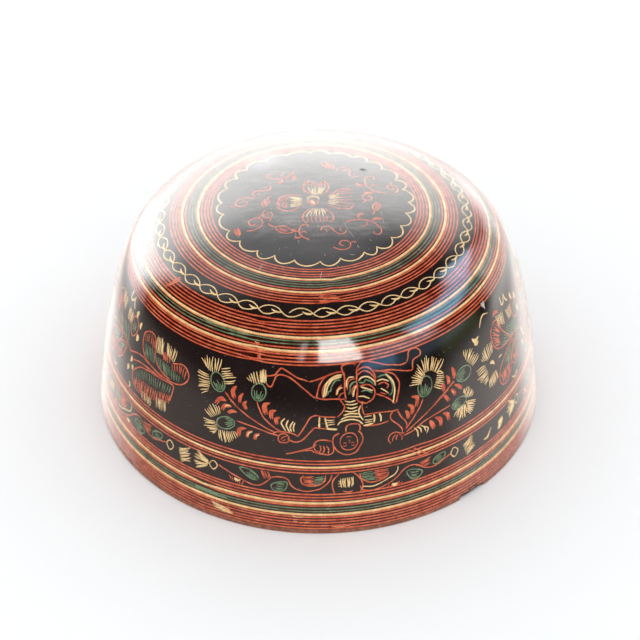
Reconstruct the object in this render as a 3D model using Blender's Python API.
"""Incised lacquer bowl on a coiled bamboo core, resting mouth down.

The bowl is a stack of turned layers. From outside in: black lacquer, ash ground,
coiled bamboo strips, ash ground, red lacquer. All lengths are in metres. +Z is up,
and the origin is the centre of the mouth, on the plane the rim rests on.
"""

import math

import bpy
from mathutils import Vector

MOUTH_RADIUS = 0.075
HEIGHT = 0.0769

# The outer outline as fractions of the mouth radius and the height, centre to rim.
OUTLINE = [
    (0.0, 1.0),
    (0.24, 0.9935),
    (0.44, 0.967),
    (0.655, 0.916),
    (0.757, 0.860),
    (0.832, 0.768),
    (0.899, 0.585),
    (0.950, 0.350),
    (0.982, 0.135),
    (1.0, 0.0),
]
CURVE_STEPS = 24

# Wall build-up, outside in.
GAP = 0.0003
OUTER_LACQUER = 0.0006
OUTER_GROUND = 0.0004
BAMBOO = 0.0012
INNER_GROUND = 0.0004
INNER_LACQUER = 0.0005
WALL = OUTER_LACQUER + OUTER_GROUND + BAMBOO + INNER_GROUND + INNER_LACQUER + 4 * GAP

# The black lacquer turns in under the rim, and the other layers stop above it.
RIM_LIP = OUTER_LACQUER
LAYER_FOOT = RIM_LIP + GAP

# The outline is faceted into spans, and two bamboo strips lie side by side on each.
BASE_RADIUS = 0.033
BASE_SPANS = 3
WALL_SPANS = 8
STRIPS_PER_SPAN = 2
SEGMENTS = 36

LACQUER_BLACK = (0.022, 0.016, 0.016)
LACQUER_RED = (0.230, 0.030, 0.016)
ASH_GREY = (0.090, 0.080, 0.070)
BAMBOO_PALE = (0.480, 0.330, 0.170)
BAMBOO_DARK = (0.360, 0.230, 0.110)


def clear_scene():
    for obj in list(bpy.data.objects):
        bpy.data.objects.remove(obj, do_unlink=True)


def material(name, colour, roughness):
    made = bpy.data.materials.new(name)
    made.use_nodes = True
    shader = made.node_tree.nodes["Principled BSDF"]
    shader.inputs["Base Color"].default_value = (*colour, 1.0)
    shader.inputs["Roughness"].default_value = roughness
    shader.inputs["Metallic"].default_value = 0.0
    return made


def smooth_point(before, start, end, after, t):
    """A point on the Catmull-Rom curve between start and end."""
    linear = (end - before) * 0.5
    square = before - start * 2.5 + end * 2.0 - after * 0.5
    cube = (start - end) * 1.5 + (after - before) * 0.5
    return start + linear * t + square * t**2 + cube * t**3


def outer_curve():
    """The outer surface's outline as (radius, height) vectors, centre to rim."""
    keys = [Vector((r * MOUTH_RADIUS, z * HEIGHT)) for r, z in OUTLINE]
    across_axis = Vector((-keys[1].x, keys[1].y))
    beyond_rim = keys[-1] * 2.0 - keys[-2]
    padded = [across_axis, *keys, beyond_rim]
    curve = []
    for i in range(len(keys) - 1):
        for step in range(CURVE_STEPS):
            curve.append(smooth_point(*padded[i : i + 4], step / CURVE_STEPS))
    return curve + [keys[-1]]


def faceted_outline():
    """The curve's points at equal spans across the base, then down the wall."""
    curve = outer_curve()
    lengths = [0.0]
    for a, b in zip(curve, curve[1:]):
        lengths.append(lengths[-1] + (b - a).length)
    base = [BASE_RADIUS * i / BASE_SPANS for i in range(BASE_SPANS)]
    span = (lengths[-1] - BASE_RADIUS) / WALL_SPANS
    wall = [BASE_RADIUS + span * i for i in range(WALL_SPANS + 1)]
    points, i = [], 0
    for distance in base + wall:
        while i < len(curve) - 2 and lengths[i + 1] < distance:
            i += 1
        t = (distance - lengths[i]) / (lengths[i + 1] - lengths[i])
        points.append(curve[i].lerp(curve[i + 1], t))
    return points


OUTER = faceted_outline()


def inward(a, b):
    along = (b - a).normalized()
    return Vector((along.y, -along.x))


def layer(depth, foot):
    """The outline moved straight in, with mitred corners and its rim at height foot."""
    moved = []
    for i, point in enumerate(OUTER):
        before = OUTER[i - 1] if i else Vector((-OUTER[1].x, OUTER[1].y))
        after = OUTER[i + 1] if i < len(OUTER) - 1 else point * 2.0 - before
        normal = inward(before, point)
        mitre = (normal + inward(point, after)).normalized()
        moved.append(point + mitre * (depth / mitre.dot(normal)))
    above, rim = moved[-2:]
    moved[-1] = above.lerp(rim, (foot - above.y) / (rim.y - above.y))
    return moved


def turned(name, section, closed, finish):
    """A body of revolution from a section that runs down its outer side."""
    edges = [(i, i + 1) for i in range(len(section) - 1)]
    if closed:
        edges.append((len(section) - 1, 0))
    mesh = bpy.data.meshes.new(name)
    mesh.from_pydata([(p.x, 0.0, p.y) for p in section], edges, [])
    mesh.materials.append(finish)
    obj = bpy.data.objects.new(name, mesh)
    bpy.context.scene.collection.objects.link(obj)
    screw = obj.modifiers.new("turned", "SCREW")
    screw.axis = "Z"
    screw.angle = math.tau
    screw.screw_offset = 0.0
    screw.steps = SEGMENTS
    screw.render_steps = SEGMENTS
    screw.use_merge_vertices = True
    screw.merge_threshold = 0.00001
    screw.use_smooth_shade = True
    return obj


def outer_lacquer_coat(finish):
    """The black outer coat, with its lip turned in under the rim."""
    mouth = MOUTH_RADIUS - WALL
    lip = [Vector((mouth, 0.0)), Vector((mouth, RIM_LIP))]
    section = layer(0.0, 0.0) + lip + layer(OUTER_LACQUER, RIM_LIP)[::-1]
    turned("outer_lacquer_coat", section, False, finish)


def coat(name, depth, thickness, finish):
    """A bowl-shaped layer that stops above the rim lip."""
    inside = layer(depth + thickness, LAYER_FOOT)
    turned(name, layer(depth, LAYER_FOOT) + inside[::-1], False, finish)


def strip_name(number, count):
    """The strips are the base's centre disc, its coils, the wall's hoops and the rim's."""
    in_base = BASE_SPANS * STRIPS_PER_SPAN
    if number == 0:
        return "base_centre_disc"
    if number < in_base:
        return f"base_coil_{number}"
    if number < count - 1:
        return f"wall_hoop_{number - in_base + 1:02d}"
    return "rim_hoop"


def bamboo_core(depth, finishes):
    """Bamboo strips wound edge to edge, each a ring on its share of a span."""
    outside = layer(depth, LAYER_FOOT)
    inside = layer(depth + BAMBOO, LAYER_FOOT)
    count = (BASE_SPANS + WALL_SPANS) * STRIPS_PER_SPAN
    for number in range(count):
        span, part = divmod(number, STRIPS_PER_SPAN)
        length = (outside[span + 1] - outside[span]).length
        start = part / STRIPS_PER_SPAN
        end = (part + 1) / STRIPS_PER_SPAN
        if number:
            start += GAP / length
        outer_edges = [outside[span].lerp(outside[span + 1], t) for t in (start, end)]
        inner_edges = [inside[span].lerp(inside[span + 1], t) for t in (end, start)]
        name = strip_name(number, count)
        turned(name, outer_edges + inner_edges, number > 0, finishes[number % 2])


def build():
    clear_scene()
    black = material("black_lacquer", LACQUER_BLACK, 0.12)
    red = material("red_lacquer", LACQUER_RED, 0.25)
    ash = material("ash_ground", ASH_GREY, 0.85)
    bamboo = [
        material("bamboo_pale", BAMBOO_PALE, 0.6),
        material("bamboo_dark", BAMBOO_DARK, 0.6),
    ]
    outer_lacquer_coat(black)
    depth = OUTER_LACQUER + GAP
    coat("outer_ground_coat", depth, OUTER_GROUND, ash)
    depth += OUTER_GROUND + GAP
    bamboo_core(depth, bamboo)
    depth += BAMBOO + GAP
    coat("inner_ground_coat", depth, INNER_GROUND, ash)
    depth += INNER_GROUND + GAP
    coat("inner_lacquer_coat", depth, INNER_LACQUER, red)


build()
